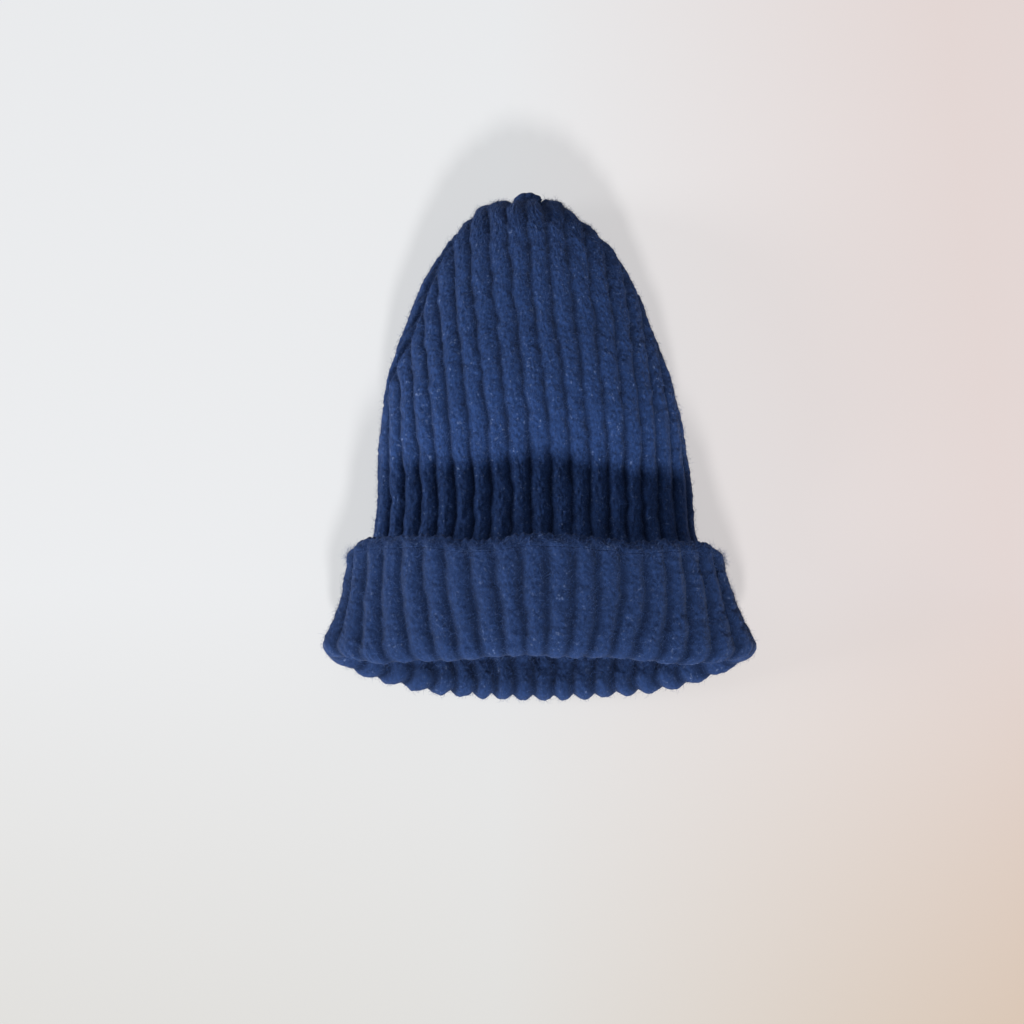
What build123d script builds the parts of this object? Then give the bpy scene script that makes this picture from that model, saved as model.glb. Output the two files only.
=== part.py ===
from build123d import *
import math
import os

# Ribbed knit beanie with a turned-up cuff, lying on its back on a table.
# Millimetres. +Z is up from the table, +Y runs from the mouth to the crown
# tip and +X is to the wearer's left. The origin ends up in the middle of the
# footprint, on the table.
#
# Everything is first built in a frame whose y = 0 is the lowest point of the
# mouth, so y reads as "distance up the hat", and is moved once at the end.

# ---- driving dimensions ----
WALL = 4.0                # thickness of the brushed rib fabric
CUFF_WALL = 4.5           # the turned-up layer is fluffed a little thicker
CUFF_DEPTH = 56.0         # fold line to cast-on edge
RIM = 4.0                 # depth of the rounded fold that joins the two layers
EDGE = 5.0                # depth of the cast-on edge band
MOUTH_HALF_WIDTH = 106.0  # half the spread of the fold line
MOUTH_BOW = 18.0          # how far the fold's ends stand above its lowest point
MOUTH_SLANT = 12.0        # how far the upper layer is drawn back at MOUTH_TOP
MOUTH_TOP = 58.0          # height of the upper fold above the table
PRESS = 1.0               # depth to which the hat's own weight flattens its underside
SIDE_LEVEL = 0.42         # height of the widest point, as a fraction of the section
ROUNDNESS = 2.4           # superellipse power of a section; 2 would be an ellipse
BELLY = 3.6               # power of its underside, flatter than the top
SECTION_POINTS = 20
YARN_R = 0.9              # radius of the sewing yarn
THIN_YARN_R = 0.5         # radius of the loose yarn ends
CLEAR = 0.35              # air left between a seam's yarn and the fabric it lies on
NUB_R = 7.0               # the gathered nub at the top: its radius,
NUB = 4.6                 # its length,
NECK_R = 4.0              # the radius of its neck
NECK = 2.0                # and the neck's length
SEAM_START = 160.0        # where the crown's side seams start, up the hat
SEAM_END = 265.0          # and where they reach the gathered top
BIG = 200.0               # larger than the hat, for cutting tools

# The body of the hat: distance up, half width, middle, underside, top.
BODY = [
    (-12.0, 110.0, 0.0, 6.0, 53.0),
    (18.0, 99.2, 0.0, 6.0, 52.0),
    (38.0, 91.2, -0.5, 6.0, 49.5),
    (58.0, 84.4, -1.3, 6.0, 44.5),
    (77.0, 79.6, -1.8, 6.0, 40.5),
    (100.0, 79.8, -2.0, -PRESS, 39.0),
    (125.0, 78.6, -3.0, -PRESS, 44.0),
    (154.0, 75.0, -4.2, -PRESS, 47.8),
    (183.0, 67.7, -4.8, -PRESS, 47.2),
    (207.0, 59.8, -4.9, -PRESS, 44.8),
    (232.0, 49.2, -5.0, -PRESS, 40.8),
    (247.0, 41.0, -5.2, -PRESS, 37.0),
    (260.0, 31.6, -5.8, 0.4, 31.0),
    (268.0, 22.0, -4.6, 3.0, 25.0),
    (272.4, 13.0, -4.3, 5.0, 21.5),
]
# The outside of the turned-up cuff, in the same order.
CUFF = [
    (-12.0, 117.6, 0.4, -PRESS, 57.5),
    (18.0, 108.0, 0.4, -PRESS, 58.5),
    (30.0, 102.4, 0.2, -PRESS, 60.5),
    (45.0, 96.8, -0.4, -PRESS, 63.4),
    (60.0, 92.6, -1.3, -PRESS, 66.2),
    (75.0, 89.2, -2.2, -PRESS, 68.8),
    (90.0, 86.8, -2.8, -PRESS, 70.5),
]
CUFF_LINING = 4.4         # height of the cuff's inside above the table


def section_point(station, angle, inset=0.0):
    """A point of the hat's outline at one station; angle 90 is the top."""
    y, half_width, middle, low, high = station
    side = low + SIDE_LEVEL * (high - low)
    c = math.cos(math.radians(angle))
    s = math.sin(math.radians(angle))
    x = middle + (half_width - inset) * math.copysign(abs(c) ** (2 / ROUNDNESS), c)
    if s >= 0:
        z = side + (high - inset - side) * s ** (2 / ROUNDNESS)
    else:
        z = side - (side - low - inset) * (-s) ** (2 / BELLY)
    return Vector(x, y, z)


def section(station, inset=0.0):
    """The closed face of the hat at one station, drawn inset from its outline."""
    step = 360.0 / SECTION_POINTS
    points = [section_point(station, (i + 0.5) * step, inset) for i in range(SECTION_POINTS)]
    return Face(Wire([Edge.make_spline(points, periodic=True)]))


def skin(stations, inset=0.0):
    """A solid through all the stations, straight from each one to the next."""
    return loft([section(station, inset) for station in stations], ruled=True)


def at(y):
    """The body's station at any distance up the hat, read between two of the table's."""
    for low, high in zip(BODY, BODY[1:]):
        if low[0] <= y <= high[0]:
            t = (y - low[0]) / (high[0] - low[0])
            return tuple(a + t * (b - a) for a, b in zip(low, high))
    raise ValueError(y)


def below(shift):
    """All the space on the mouth's side of the fold line, moved up the hat by shift."""
    reach = 1.3 * MOUTH_HALF_WIDTH
    rise = MOUTH_BOW * (reach / MOUTH_HALF_WIDTH) ** 2
    left, right = (-reach, shift + rise), (reach, shift + rise)
    bow = ThreePointArc(left, (0, shift), right)
    floor = Polyline(right, (reach, -BIG), (-reach, -BIG), left)
    bowed = extrude(make_face(bow + floor), amount=BIG)
    bowed = Pos(0, 0, -BIG / 2) * bowed
    slope = MOUTH_SLANT / MOUTH_TOP
    z0, z1 = -BIG / 2, BIG / 2
    corners = [(0, -BIG, z0), (0, shift + slope * z0, z0), (0, shift + slope * z1, z1), (0, -BIG, z1)]
    side = make_face(Polyline(*corners, close=True))
    slanted = Pos(-BIG, 0, 0) * extrude(side, amount=2 * BIG, dir=(1, 0, 0))
    return bowed + slanted


def table():
    """The space below the table top, which the hat's underside is pressed flat against."""
    return Pos(0, 0, -BIG / 2) * Box(3 * BIG, 3 * BIG, BIG)


def tube(points, radius, bend):
    """Yarn along straight runs joined by arcs of one bend radius."""
    path = FilletPolyline(*points, radius=bend)
    start = Plane(origin=path @ 0, z_dir=path % 0)
    return sweep(start * Circle(radius), path=path)


def knit_body():
    """The tube of rib fabric and the rounded crown, hollow and open at the mouth."""
    last = BODY[-1]
    tip = (last[0] - WALL, at(last[0] - WALL)[1], *at(last[0] - WALL)[2:])
    hollow = skin([s for s in BODY if s[0] < tip[0]] + [tip], inset=WALL)
    return skin(BODY) - hollow - below(RIM) - table()


def cuff_layer():
    """The whole turned-up layer from the fold to the cast-on edge."""
    lining = [(y, w - CUFF_WALL, m, CUFF_LINING, top - CUFF_WALL) for y, w, m, _, top in CUFF]
    mouth = skin([s for s in BODY if s[0] < 60.0], inset=WALL)
    hollow = skin(lining) - below(RIM)
    return skin(CUFF) - hollow - mouth - below(0.0) - table()


def side_seam(side):
    """Sewing yarn that closes one side of the crown, lying on the outer face of the fabric."""
    angle = 28.0 if side > 0 else 152.0
    points = [section_point(s, angle, -YARN_R - CLEAR) for s in BODY if SEAM_START < s[0] < SEAM_END]
    return tube(points, YARN_R, 50.0)


def back_seam():
    """The seam that closes the knitted panel into a tube, on its inside, at the wearer's back."""
    runs = (8.0, 77.0, 100.0, 245.0)
    points = [Vector(0, y, at(y)[3] + WALL + YARN_R + 2 * CLEAR) for y in runs]
    return tube(points, YARN_R, 40.0)


def cuff_seam():
    """The same seam carried on through the turned-up layer, between it and the body."""
    run = CUFF_DEPTH - EDGE - RIM - 2.0
    height = (CUFF_LINING + BODY[0][3]) / 2
    return Pos(0, RIM + 1.5 + run / 2, height) * Rot(90, 0, 0) * Cylinder(THIN_YARN_R, run)


def gathered_top():
    """The last round of stitches, drawn together into a small puckered nub."""
    tip = BODY[-1]
    middle = (tip[3] + tip[4]) / 2
    neck = Pos(tip[2], tip[0] + NECK / 2, middle) * Rot(90, 0, 0) * Cylinder(NECK_R, NECK)
    head = fillet(Cylinder(NUB_R, NUB).edges().filter_by(GeomType.CIRCLE), 0.45 * NUB)
    return neck + Pos(tip[2], tip[0] + NECK + NUB / 2, middle) * Rot(90, 0, 0) * head


def cinch_yarn():
    """The drawstring loop of yarn round the neck of the nub."""
    tip = BODY[-1]
    ring = Torus(NECK_R + YARN_R, YARN_R)
    return Pos(tip[2], tip[0] + NECK / 2, (tip[3] + tip[4]) / 2) * Rot(90, 0, 0) * ring


def cinch_knot():
    """The knot that holds the loop, on the inside of the tip."""
    tip = BODY[-1]
    return Pos(tip[2], tip[0] - WALL - 5.0, (tip[3] + tip[4]) / 2) * Sphere(2.2)


def crown_tail():
    """The loop's free yarn end, hanging inside the crown from the knot."""
    tip = BODY[-1]
    z = (tip[3] + tip[4]) / 2
    y = tip[0] - WALL - 5.0 - 2.2
    points = [(tip[2], y, z), (tip[2] + 1, y - 9, z - 1), (tip[2] + 4, y - 18, z - 3), (tip[2] + 5, y - 27, z - 4)]
    return tube(points, THIN_YARN_R, 12.0)


def cast_on_tail():
    """The first yarn end of the knitting, tucked between the body and the cuff in front."""
    y = MOUTH_SLANT + CUFF_DEPTH - EDGE - 3.0
    z = CUFF[4][4] - CUFF_WALL - 3.0
    points = [(2.0, y, z), (10.0, y - 2, z - 1.0), (20.0, y - 5, z - 1.5), (28.0, y - 9, z - 1.8)]
    return tube(points, THIN_YARN_R, 20.0)


def build():
    """Every piece of the hat by name, origin in the middle of its footprint."""
    layer = cuff_layer()
    edge_start = below(CUFF_DEPTH - EDGE)
    pieces = {
        "knit_body": knit_body(),
        "turn_up_cuff": layer & edge_start,
        "cast_on_edge": (layer - edge_start) & below(CUFF_DEPTH),
        "left_crown_seam": side_seam(1),
        "right_crown_seam": side_seam(-1),
        "back_seam": back_seam(),
        "cuff_seam": cuff_seam(),
        "gathered_top": gathered_top(),
        "crown_cinch_yarn": cinch_yarn(),
        "cinch_knot": cinch_knot(),
        "crown_yarn_tail": crown_tail(),
        "cast_on_tail": cast_on_tail(),
    }
    boxes = [shape.bounding_box() for shape in pieces.values()]
    middle_x = (min(b.min.X for b in boxes) + max(b.max.X for b in boxes)) / 2
    middle_y = (min(b.min.Y for b in boxes) + max(b.max.Y for b in boxes)) / 2
    home = Pos(-middle_x, -middle_y, -min(b.min.Z for b in boxes))
    return {name: home * shape for name, shape in pieces.items()}


os.makedirs("parts", exist_ok=True)
for name, shape in build().items():
    export_step(shape, f"parts/{name}.step")
    print(name, round(shape.volume), "mm3")
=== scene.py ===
# %% [markdown]
# # A brushed rib-knit beanie
#
# This lesson builds the visible model of a tall knit beanie with a turned-up cuff. The hat lies on its back
# on a pale table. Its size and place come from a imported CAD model, which is loaded first as a fixed frame.
# Every soft CAD solid is then replaced by a finished piece of fabric or yarn.

# %% The frame
import math

import bmesh
import bpy
import numpy as np
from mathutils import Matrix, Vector


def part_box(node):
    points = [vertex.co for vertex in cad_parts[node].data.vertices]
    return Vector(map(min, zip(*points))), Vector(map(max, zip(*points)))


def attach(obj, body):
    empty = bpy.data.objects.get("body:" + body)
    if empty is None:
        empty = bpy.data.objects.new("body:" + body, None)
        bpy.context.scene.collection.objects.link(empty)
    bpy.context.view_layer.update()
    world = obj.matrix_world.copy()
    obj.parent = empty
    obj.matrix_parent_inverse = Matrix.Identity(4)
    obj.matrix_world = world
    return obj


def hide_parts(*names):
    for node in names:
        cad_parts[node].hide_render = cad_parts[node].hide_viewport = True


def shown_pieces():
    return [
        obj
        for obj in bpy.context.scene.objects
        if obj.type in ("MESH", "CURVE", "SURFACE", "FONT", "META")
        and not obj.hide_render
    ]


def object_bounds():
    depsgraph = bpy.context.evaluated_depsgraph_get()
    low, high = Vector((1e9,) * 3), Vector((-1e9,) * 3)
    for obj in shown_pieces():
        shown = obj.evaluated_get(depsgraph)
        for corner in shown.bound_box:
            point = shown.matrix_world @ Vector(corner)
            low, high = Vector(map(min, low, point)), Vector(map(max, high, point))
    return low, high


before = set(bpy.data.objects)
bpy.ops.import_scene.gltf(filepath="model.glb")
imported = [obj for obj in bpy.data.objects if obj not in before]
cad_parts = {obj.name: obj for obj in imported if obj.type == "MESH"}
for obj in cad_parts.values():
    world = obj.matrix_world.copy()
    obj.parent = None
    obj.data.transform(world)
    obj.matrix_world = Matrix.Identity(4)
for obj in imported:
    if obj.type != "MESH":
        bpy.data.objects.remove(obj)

cad_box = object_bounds()
MM = 0.001
MOUTH_Y = cad_box[0][1] / MM         # the mouth's lowest point, in millimetres
LENGTH = (cad_box[1][1] - cad_box[0][1]) / MM
print("hat", round(LENGTH), "mm long; nodes:", ", ".join(sorted(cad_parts)))

# %% [markdown]
# ## The hat's shape as a few stations
#
# A soft hat lying on a table has a D-shaped section: flat below, crowned above. It could be sculpted by
# hand, but a table of a few stations up the hat is easier to read and to change. Each row holds the
# distance up the hat from the mouth, the left and right edge, the underside and the top, in millimetres.
# A cubic through the rows keeps the surface smooth between them.

# %% Stations
BODY = np.array([
    (-10.0, -104.5, 104.5, 6.4, 53.5),
    (18.0, -99.0, 98.5, 6.4, 52.0),
    (40.0, -93.5, 92.0, 6.4, 48.5),
    (60.0, -88.0, 85.0, 6.4, 41.0),
    (80.0, -83.0, 79.5, 4.6, 36.5),
    (100.0, -81.0, 78.0, 1.0, 37.0),
    (118.0, -81.4, 76.4, 0.3, 41.5),
    (138.0, -80.8, 73.8, 0.3, 46.0),
    (160.0, -78.2, 69.4, 0.3, 47.8),
    (183.0, -72.5, 62.9, 0.3, 47.2),
    (207.0, -64.7, 54.7, 0.3, 46.0),
    (232.0, -53.2, 42.8, 0.3, 43.5),
    (246.0, -43.8, 32.8, 0.4, 40.5),
    (257.0, -36.6, 24.2, 0.8, 35.5),
    (264.0, -31.4, 20.2, 2.2, 29.5),
    (268.2, -24.2, 17.4, 4.0, 24.0),
    (270.4, -16.6, 12.0, 6.0, 21.5),
    (271.8, -10.8, 5.0, 8.0, 19.0),
    (272.6, -8.4, 0.0, 9.4, 17.0),
])
CUFF = np.array([
    (-10.0, -118.0, 118.5, 0.4, 57.0),
    (18.0, -109.4, 109.6, 0.4, 58.5),
    (28.0, -103.2, 103.6, 0.4, 60.2),
    (38.0, -98.6, 98.0, 0.4, 62.0),
    (50.0, -95.4, 94.0, 0.4, 64.2),
    (60.0, -93.6, 91.0, 0.4, 66.2),
    (70.0, -93.4, 89.4, 0.4, 68.2),
    (86.0, -93.0, 88.0, 0.4, 70.0),
])
CUFF_DEPTH = 56.0
MOUTH_BOW = 17.5          # the ends of the fold stand this far above its lowest point
MOUTH_SLANT = 13.0        # and the upper layer this far, at MOUTH_TOP
MOUTH_TOP = 58.0
MOUTH_HALF = 106.0
FRONT_EDGE = np.array([   # the cast-on edge of the upper layer: across, and up the hat
    (-100.0, 69.5), (-88.0, 70.0), (-78.0, 70.6), (-60.0, 68.6), (-45.0, 66.2), (-28.0, 64.2),
    (-10.0, 66.0), (20.0, 66.2), (44.0, 64.6), (70.0, 67.6), (84.0, 68.4), (100.0, 67.0)])
ROUNDNESS = {"body": 2.4, "cuff": 1.95}     # superellipse powers of the sections' upper part
PINCH = {"body": 0.65, "cuff": 0.42}        # how much lower they are at the mouth's pinched corners
PINCH_REACH = 62.0        # the pinch fades out at this distance up the hat
BELLY = 3.6               # the power of the flattened underside
SIDE_LEVEL = 0.42         # height of the widest point, as a fraction of the section


def column_curve(table, column):
    """One column of a station table as a smooth function of the distance up the hat."""
    y = table[:, 0]
    v = table[:, column]
    slope = np.gradient(v, y)

    def value(q):
        q = np.clip(q, y[0], y[-1])
        i = np.clip(np.searchsorted(y, q) - 1, 0, len(y) - 2)
        h = y[i + 1] - y[i]
        t = (q - y[i]) / h
        keep = (2 * t**3 - 3 * t**2 + 1) * v[i] + (3 * t**2 - 2 * t**3) * v[i + 1]
        return keep + (t**3 - 2 * t**2 + t) * h * slope[i] + (t**3 - t**2) * h * slope[i + 1]

    return value


def outline(table, y, angle, inset):
    """x and z of the section at one distance up the hat, over an array of angles in degrees."""
    part = "cuff" if table is CUFF else "body"
    left, right, low, high = (column_curve(table, c)(y) for c in (1, 2, 3, 4))
    c = np.cos(np.radians(angle))
    s = np.sin(np.radians(angle))
    side = low + SIDE_LEVEL * (high - low)
    half = (right - left) / 2 - inset
    power = ROUNDNESS[part] - PINCH[part] * (1 - ease(y / PINCH_REACH))
    x = (left + right) / 2 + half * np.sign(c) * np.abs(c) ** (2 / power)
    top = (high - inset - side) * np.maximum(s, 0) ** (2 / power)
    bottom = (side - low - inset) * np.maximum(-s, 0) ** (2 / BELLY)
    return x, side + top - bottom


def ease(t):
    """0 below 0, 1 above 1, and a smooth step between."""
    t = np.clip(t, 0.0, 1.0)
    return t * t * (3 - 2 * t)


print("stations:", len(BODY), "up the body and", len(CUFF), "up the cuff")

# %% [markdown]
# ## Columns of stitches
#
# Rib knitting is made of columns, here 19 raised ribs in front and 19 behind, with narrow grooves between.
# Round the cuff and the lower body the columns share out the girth. Up the crown they don't converge:
# the front and back panels keep their ribs parallel, and the ribs run out into a seam at each side, one
# after the other. So the crown's rib number comes from the arc length from its middle line, measured with
# the rib width of the widest section.

# %% Columns and rib numbers
RIBS = 19                          # ribs in one panel
PER_RIB = 22  # mesh columns in one rib
COLUMNS = 2 * RIBS * PER_RIB
SHAPING_START = 135.0              # where the crown starts to narrow, up the hat
SEAM_SHOWS = 190.0                 # where the side seams have come round onto the front
SEAM_FADES = 236.0                 # and where they go back to the outline
SEAM_ANGLE = {"left": 26.0, "right": 9.0}
RIB_WARP = 0.12                    # ribs in the middle are this much wider than the average
RIB_SHIFT = 0.27                   # the pattern stands this far of a rib off the middle line
LEAN = 8.0                         # the crown's ribs lean this far to the left on the way up
TABLE_STEP = 1.0
FINE = 721


def panel_angles(y):
    """The angles of the left and the right seam at a distance up the hat."""
    t = ease((y - SHAPING_START) / (SEAM_SHOWS - SHAPING_START)) * (1 - 0.7 * ease((y - SEAM_FADES) / 20.0))
    return 180.0 - SEAM_ANGLE["left"] * t, SEAM_ANGLE["right"] * t


def spread(table, y, inset, seams):
    """x, z, arc length from the panel's middle line and from its nearer seam, for every column at y."""
    left_seam, right_seam = seams
    rows = []
    for start, stop, side_a, side_b in (
        (left_seam, right_seam, 180.0, 0.0),
        (right_seam, left_seam - 360.0, 0.0, -180.0),
    ):
        angle = np.linspace(start, stop, FINE)
        x, z = outline(table, y, angle, inset)
        arc = np.concatenate([[0.0], np.cumsum(np.hypot(np.diff(x), np.diff(z)))])
        whole = np.linspace(side_a, side_b, FINE)
        wx, wz = outline(table, y, whole, inset)
        walk = np.concatenate([[0.0], np.cumsum(np.hypot(np.diff(wx), np.diff(wz)))])
        middle_angle = np.interp(walk[-1] / 2, walk, whole)
        middle = np.interp(-middle_angle, -angle, arc)
        at = (np.arange(RIBS * PER_RIB) / (RIBS * PER_RIB)) * arc[-1]
        rows.append((
            np.interp(at, arc, x), np.interp(at, arc, z), at - middle,
            np.minimum(at, arc[-1] - at), np.full(len(at), walk[-1])))
    return [np.concatenate(pair) for pair in zip(*rows)]


def tabulate(table, inset, seams_at):
    """The spread of every column, at each millimetre up the hat."""
    ys = np.arange(table[0, 0], table[-1, 0] + TABLE_STEP / 2, TABLE_STEP)
    sheets = np.array([spread(table, y, inset, seams_at(y)) for y in ys])
    return ys, sheets


def look_up(ys, sheet, y):
    """Reads a (station, column) sheet at each column's own distances y, an array (rows, columns)."""
    position = np.clip((y - ys[0]) / TABLE_STEP, 0, len(ys) - 1.001)
    i = position.astype(int)
    t = position - i
    column = np.arange(y.shape[1])[None, :]
    return sheet[i, column] * (1 - t) + sheet[i + 1, column] * t


MID_INSET = 2.6                    # from the outside of the fabric to its middle surface
body_ys, body_sheets = tabulate(BODY, MID_INSET, panel_angles)
cuff_ys, cuff_sheets = tabulate(CUFF, MID_INSET, lambda y: (180.0, 0.0))
print("columns:", COLUMNS, "rows in the table:", len(body_ys), "+", len(cuff_ys))

# %% [markdown]
# ## Noise that knows the cloth
#
# Hand-feel irregularity comes from smooth random numbers laid out on the cloth itself, so it follows the
# fabric round the fold. A texture could do it too, but as numbers it can move vertices. The lattice wraps
# round the hat, so no join shows.

# %% Cloth noise
def cloth_noise(across, along, cells_round, cell_length, seed):
    """Smooth noise in -1..1. across is 0..1 round the hat, along is in millimetres."""
    lattice = np.random.default_rng(seed).uniform(-1, 1, (257, cells_round))
    u = (across % 1.0) * cells_round
    v = along / cell_length
    i = np.floor(u).astype(int)
    j = np.floor(v).astype(int)
    fu = ease(u - i)
    fv = ease(v - j)
    a = lattice[j % 257, i % cells_round]
    b = lattice[j % 257, (i + 1) % cells_round]
    c = lattice[(j + 1) % 257, i % cells_round]
    d = lattice[(j + 1) % 257, (i + 1) % cells_round]
    return (a * (1 - fu) + b * fu) * (1 - fv) + (c * (1 - fu) + d * fu) * fv


def rib_ridge(phase, sharp):
    """The round back of a rib over one phase, 0 in the groove and 1 on the ridge."""
    return np.abs(np.sin(np.pi * phase)) ** sharp


STITCH = 2.9                       # height of one row of stitches, millimetres
WALE_MIDDLE = 0.38                 # the stitches' column beside a rib's middle line, in half ribs,
WALE_HALF = 0.34                   # and half its width
STITCH_SLANT = 0.32                # how far a stitch's outer end lags behind, in stitches
CLEFT = 0.10                       # half width of the cleft between a rib's two columns


def stitch_relief(phase, along):
    """Two columns of V-shaped stitches on each rib, as a height from -1 to 1."""
    across = (phase % 1.0 - 0.5) * 2.0
    wale = (np.abs(across) - WALE_MIDDLE) / WALE_HALF
    chevron = np.cos(2 * np.pi * (along / STITCH - STITCH_SLANT * np.abs(wale)))
    window = np.clip(1.0 - wale**2, 0.0, 1.0)
    cleft = np.exp(-(across / CLEFT) ** 2)
    return window * chevron - 0.9 * cleft


print("one stitch is", STITCH, "mm tall")

# %% [markdown]
# ## The fabric as one sheet
#
# On the real hat the body and the cuff are the same cloth: it comes down from the crown, rolls over at the
# mouth and goes back up outside itself, so the cuff shows the cloth's inner face. Two separate tubes would
# meet badly at the fold. So the middle surface of the cloth is laid out once, from the crown tip round the
# fold to the cast-on edge, and thickness, ribs and stitches are added on both faces. Only then is it cut
# into its named pieces.

# %% Middle surface of the cloth
ROW = 0.55  # spacing of the mesh rows, millimetres
BODY_CLOTH = 258.0                 # length of the cloth up the body,
FOLD_CLOTH = 13.0                  # and round the fold
BODY_ROWS = int(BODY_CLOTH / ROW)
FOLD_ROWS = max(10, int(FOLD_CLOTH / ROW))
CUFF_ROWS = int(CUFF_DEPTH / ROW)
TIP_Y = BODY[-1, 0]
FOLD_START = 6.0                   # the fold's centre stands this far up the hat from the mouth line
FOLD_LENGTH = 1.15                 # how much longer the fold is than a half round
MOUTH_STATION = 12.0               # the section here tells where each column lies at the mouth,
EDGE_STATION = 70.0                # and the one here, where it lies at the cast-on edge

round_the_hat = np.arange(COLUMNS) / COLUMNS


def cuff_place(station):
    """x and z of every column of the cuff at one distance up the hat."""
    y = np.full((1, COLUMNS), station)
    return [look_up(cuff_ys, cuff_sheets[:, part], y)[0] for part in (0, 1)]


def mouth_line():
    """The distance up the hat of the mouth line at each column."""
    x, z = cuff_place(MOUTH_STATION)
    bowed = MOUTH_BOW * np.abs(x / MOUTH_HALF) ** 1.7
    slanted = MOUTH_SLANT * z / MOUTH_TOP
    soft = 2.0                     # the larger of the two wins, with a soft change over this many millimetres
    return soft * np.log(np.exp(bowed / soft) + np.exp(slanted / soft)) - soft * 0.25


mouth = mouth_line()
wave = cloth_noise(round_the_hat, np.full(COLUMNS, 7.0), 26, 1.0, 3)
mouth = mouth + 0.5 * wave

edge_wave = 0.6 * cloth_noise(round_the_hat, np.full(COLUMNS, 3.0), 17, 1.0, 5)
edge_wave += 0.6 * cloth_noise(round_the_hat, np.full(COLUMNS, 9.0), 2 * RIBS, 1.0, 6)
edge_x, edge_z = cuff_place(EDGE_STATION)
front = ease((edge_z - 4.0) / 18.0)
drawn = column_curve(FRONT_EDGE, 1)(edge_x)
cast_on = (mouth + CUFF_DEPTH) * (1 - front) + drawn * front + edge_wave


def lay_out():
    """The sheet's middle surface, tip to cast-on edge, and how far up the hat its two long parts lie."""
    t = np.linspace(0, 1, BODY_ROWS)[:, None]
    y_body = TIP_Y + (mouth[None, :] + FOLD_START - TIP_Y) * t
    x_body = look_up(body_ys, body_sheets[:, 0], y_body)
    z_body = look_up(body_ys, body_sheets[:, 1], y_body)
    t = np.linspace(0, 1, CUFF_ROWS)[:, None]
    y_cuff = mouth[None, :] + FOLD_START + (cast_on - mouth - FOLD_START)[None, :] * t
    x_cuff = look_up(cuff_ys, cuff_sheets[:, 0], y_cuff)
    z_cuff = look_up(cuff_ys, cuff_sheets[:, 1], y_cuff)
    a = np.stack([x_body[-1], y_body[-1], z_body[-1]], -1)
    b = np.stack([x_cuff[0], y_cuff[0], z_cuff[0]], -1)
    turn = np.linspace(0, math.pi, FOLD_ROWS + 2)[1:-1, None, None]
    spoke = (a - b) / 2
    drop = np.zeros_like(spoke)
    drop[:, 1] = -np.linalg.norm(spoke, axis=1) * FOLD_LENGTH
    fold = (a + b) / 2 + spoke * np.cos(turn) + drop * np.sin(turn)
    middle = np.concatenate([
        np.stack([x_body, y_body, z_body], -1), fold, np.stack([x_cuff, y_cuff, z_cuff], -1)])
    return middle, y_body, y_cuff


middle, y_body, y_cuff = lay_out()
rows_total = len(middle)
fold_first = BODY_ROWS
steps = np.linalg.norm(np.diff(middle, axis=0), axis=2)
travel = np.concatenate([np.zeros((1, COLUMNS)), np.cumsum(steps, axis=0)])
along = travel - travel[fold_first + FOLD_ROWS // 2]    # 0 at the fold, negative up the body
print("sheet of", rows_total, "x", COLUMNS, "points")
print("cloth up the body", round(float(-along.min())), "mm, up the cuff", round(float(along.max())), "mm")

# %% [markdown]
# ## Which rib each point is on
#
# Grooves and ridges could be cut as separate strips, but then they would have to be matched at every seam.
# Here each point of the sheet gets a rib number that changes smoothly, and the relief is a function of it.
# At the mouth the pull of the corners gives them broad ribs, and the other ribs crowd inwards.

# %% Rib number over the whole sheet
CORNER_PULL = 2.6                  # strength of that crowding against RIB_WARP,
CORNER_REACH = 22.0                # and its reach from the fold, millimetres
pull = RIB_WARP * (1 - CORNER_PULL * np.exp(-(along / CORNER_REACH) ** 2))


def warp(share, amount):
    """Shares out the ribs of a panel so that the middle ones are wider by the given amount."""
    return share + amount / (2 * math.pi) * np.sin(2 * math.pi * share)


def rib_numbers():
    """The rib number at every point of the sheet; whole numbers are grooves of the outer face."""
    panel = np.repeat([0, 1], RIBS * PER_RIB)[None, :]
    reference = body_sheets[np.searchsorted(body_ys, SHAPING_START)]
    arc = look_up(body_ys, body_sheets[:, 2], y_body)
    half_girth = look_up(body_ys, body_sheets[:, 4], y_body)
    x = look_up(body_ys, body_sheets[:, 0], y_body)
    girth = np.where(y_body < SHAPING_START, half_girth, reference[4][None, :])
    rise = ease((y_body - SHAPING_START + 15) / (TIP_Y - SHAPING_START - 15))
    side = 1 - 0.6 * ease((x - 5.0) / 50.0)
    lean = LEAN * rise * side * np.where(panel == 0, 1.0, -1.0)
    share = 0.5 + (arc + lean) / girth
    body = RIBS * (warp(share, pull[:BODY_ROWS]) + panel)
    share = (np.arange(RIBS * PER_RIB) / (RIBS * PER_RIB))
    share = np.concatenate([share, share])[None, :]
    cuff = RIBS * (warp(share, pull[BODY_ROWS:]) + panel)
    return np.concatenate([body, cuff]) - RIB_SHIFT


rib = rib_numbers()
seam_distance = np.concatenate([
    look_up(body_ys, body_sheets[:, 3], y_body), np.full((FOLD_ROWS + CUFF_ROWS, COLUMNS), 99.0)])
height_up = np.concatenate([y_body, np.zeros((FOLD_ROWS + CUFF_ROWS, COLUMNS))])
print("ribs round the hat at the fold:", round(float(rib[BODY_ROWS - 1].max() - rib[BODY_ROWS - 1].min())))

# %% [markdown]
# ## Two faces of the cloth
#
# A rib fabric is raised on one face where it is sunk on the other. The outer face gets its ridge between
# whole rib numbers, and the inner face, which the cuff shows, gets it half a rib further on. Inside the
# tight roll of the fold the ridges are squeezed flat. Where the crown's ribs run out into a side seam, the
# cloth dips and puckers, and near the top it gathers into deep pleats.

# %% Faces
SQUASH = 1.6                       # ribs that would reach below this height are flattened
CORE = 0.9                         # half of the cloth's thickness between its ridges
CROWN_RIDGE = 2.7                  # height of a rib above its groove
CUFF_RIDGE = 3.4


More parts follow.
